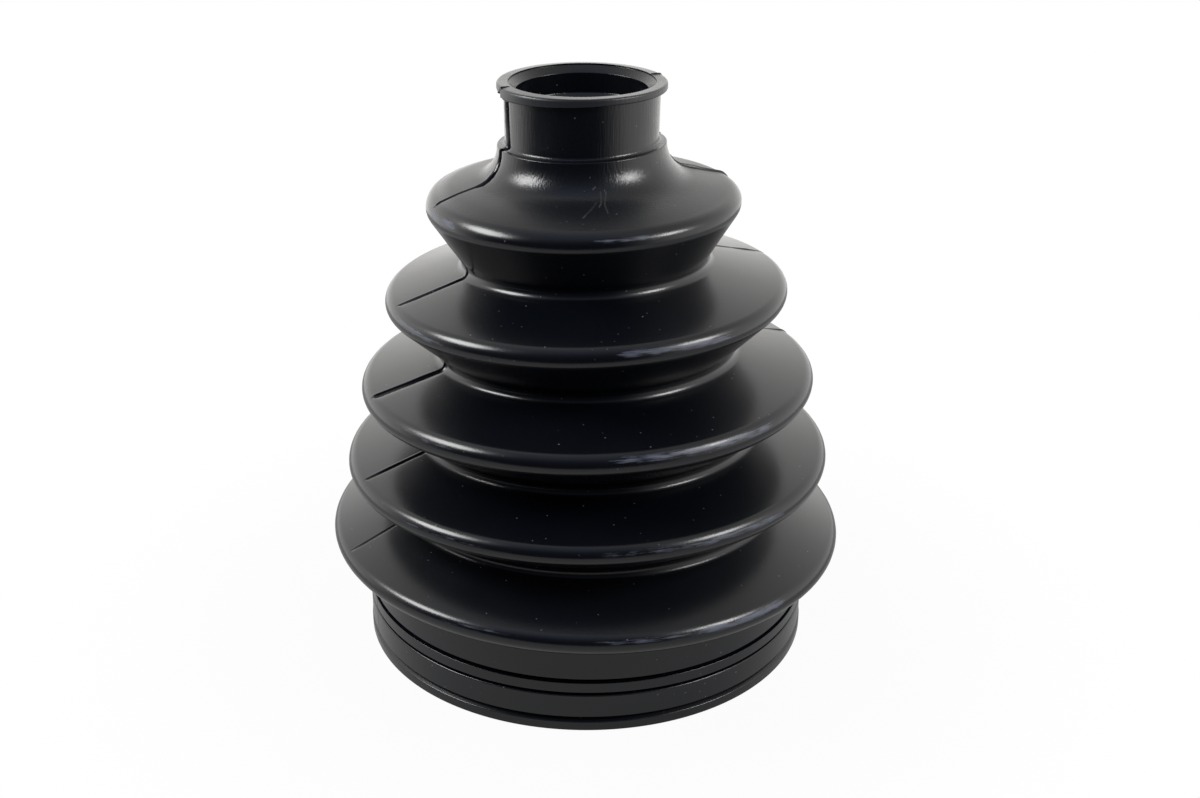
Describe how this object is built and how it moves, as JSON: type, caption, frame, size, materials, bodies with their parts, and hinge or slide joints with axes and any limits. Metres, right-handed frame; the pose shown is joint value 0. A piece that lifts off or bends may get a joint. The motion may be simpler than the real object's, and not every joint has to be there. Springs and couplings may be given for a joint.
{
  "type": "rubber bellows boot",
  "caption": "Conical rubber bellows boot: a narrow neck with a lip at the small end, rings of convolutions that widen downwards, and a wide clamp collar at the large end.",
  "frame": {"origin": "centre of the large end's face", "axes": "+Z along the axis of the boot, from the large end to the small end; X and Y are across it, and the mould's parting line lies about 20 degrees off the XZ plane"},
  "size_m": [0.1068, 0.1068, 0.116],
  "materials": {
    "rubber": "moulded near-black rubber with a soft satin sheen, and grey rub marks on the crests of the convolutions"
  },
  "bodies": {
    "root": {"boot": "rubber"}
  },
  "joints": []
}
